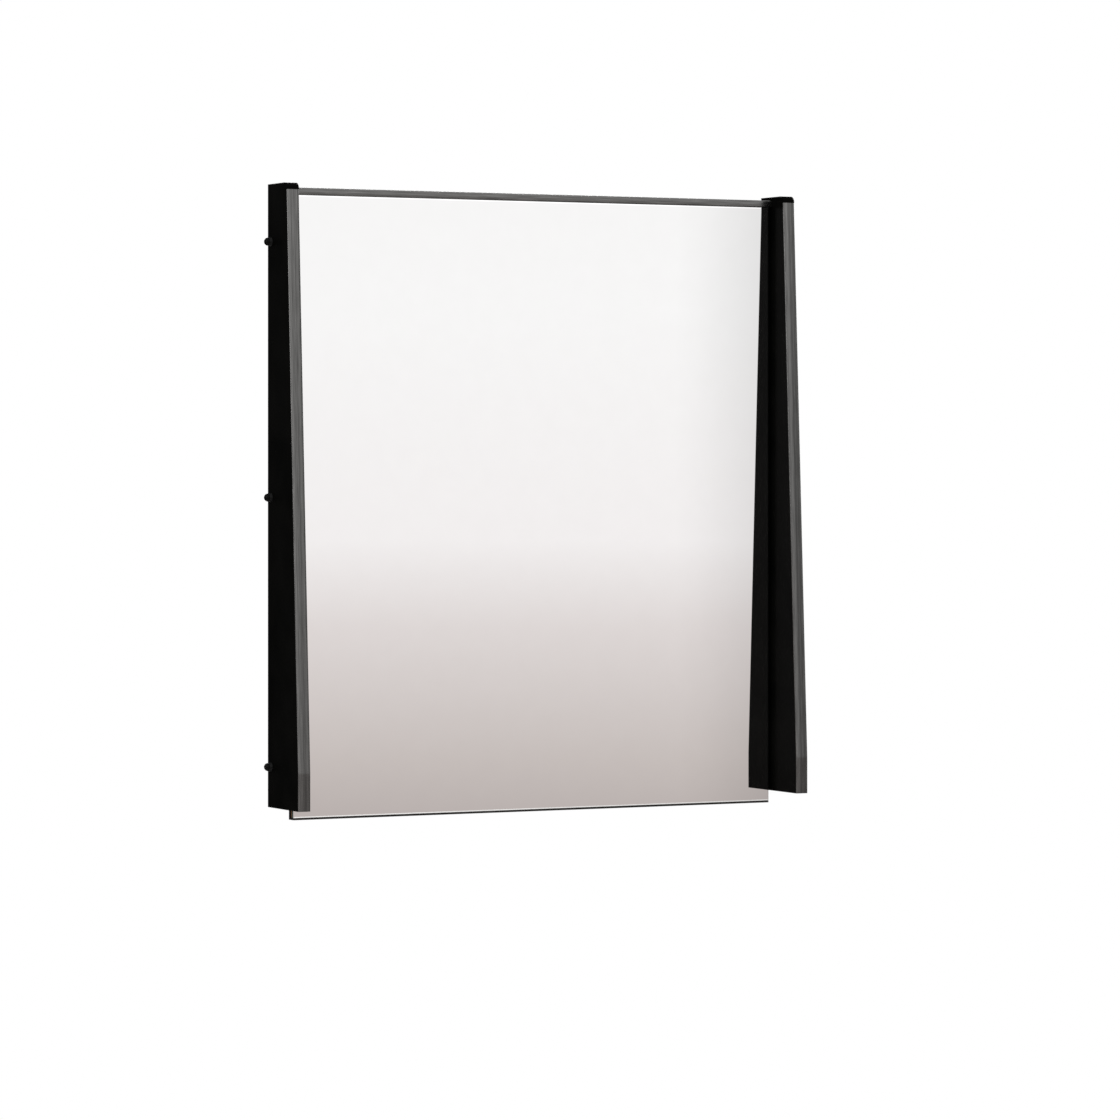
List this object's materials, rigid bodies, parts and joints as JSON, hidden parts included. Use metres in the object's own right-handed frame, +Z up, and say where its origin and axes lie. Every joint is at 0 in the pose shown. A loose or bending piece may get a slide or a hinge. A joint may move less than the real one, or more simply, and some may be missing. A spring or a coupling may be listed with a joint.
{
  "type": "shutter mirror",
  "caption": "Wall mirror held between two tapered black side boards with graphite front edges and dome-head bolts; it lifts on and off a rail on the wall.",
  "frame": {"origin": "middle of the wall rail's back face, on the wall", "axes": "+X to the right for someone who looks into the mirror, +Y into the wall, +Z up"},
  "size_m": [0.8188, 0.1055, 0.877],
  "materials": {
    "matte_black_board": "matte black lacquer",
    "graphite_strip": "graphite anodised, fine upright grain",
    "silvered_glass": "clear silvered mirror with ground arrises",
    "black_ledge": "black anodised, satin",
    "black_bolt": "black, semi-gloss",
    "black_painted_wood": "black stained, dull",
    "brown_hardboard": "raw hardboard",
    "foam_tape": "grey foam tape",
    "brass_insert": "turned brass",
    "bare_aluminium": "extruded, satin",
    "zinc_screw": "zinc plated",
    "rubber_bumper": "black rubber"
  },
  "bodies": {
    "wall_rail": {"wall_rail": "bare_aluminium"},
    "mirror_assembly": {"left_side_board": "matte_black_board", "left_front_strip": "graphite_strip", "left_wing_bolt_1": "black_bolt", "left_threaded_insert_1": "brass_insert", "left_frame_screw_1": "zinc_screw", "left_wing_bolt_2": "black_bolt", "left_threaded_insert_2": "brass_insert", "left_frame_screw_2": "zinc_screw", "left_wing_bolt_3": "black_bolt", "left_threaded_insert_3": "brass_insert", "left_frame_screw_3": "zinc_screw", "left_stile": "black_painted_wood", "left_hanging_cleat": "bare_aluminium", "left_cleat_screw_1": "zinc_screw", "left_cleat_screw_2": "zinc_screw", "left_lower_bumper": "rubber_bumper", "left_upper_bumper": "rubber_bumper", "right_side_board": "matte_black_board", "right_front_strip": "graphite_strip", "right_wing_bolt_1": "black_bolt", "right_threaded_insert_1": "brass_insert", "right_frame_screw_1": "zinc_screw", "right_wing_bolt_2": "black_bolt", "right_threaded_insert_2": "brass_insert", "right_frame_screw_2": "zinc_screw", "right_wing_bolt_3": "black_bolt", "right_threaded_insert_3": "brass_insert", "right_frame_screw_3": "zinc_screw", "right_stile": "black_painted_wood", "right_hanging_cleat": "bare_aluminium", "right_cleat_screw_1": "zinc_screw", "right_cleat_screw_2": "zinc_screw", "right_lower_bumper": "rubber_bumper", "right_upper_bumper": "rubber_bumper", "top_batten": "black_painted_wood", "middle_batten": "black_painted_wood", "bottom_batten": "black_painted_wood", "top_board": "matte_black_board", "top_front_strip": "graphite_strip", "top_board_screw_1": "zinc_screw", "top_board_screw_2": "zinc_screw", "top_board_screw_3": "zinc_screw", "mirror_glass": "silvered_glass", "backing_board": "brown_hardboard", "mounting_tape_1": "foam_tape", "mounting_tape_2": "foam_tape", "mounting_tape_3": "foam_tape", "mounting_tape_4": "foam_tape", "bottom_ledge": "black_ledge", "ledge_screw_1": "zinc_screw", "ledge_screw_2": "zinc_screw", "ledge_screw_3": "zinc_screw", "ledge_screw_4": "zinc_screw"}
  },
  "joints": [
    {"name": "lift_off", "type": "slide", "parent": "wall_rail", "child": "mirror_assembly", "axis": [0, 0, 1], "range_m": [0, 0.013]}
  ]
}
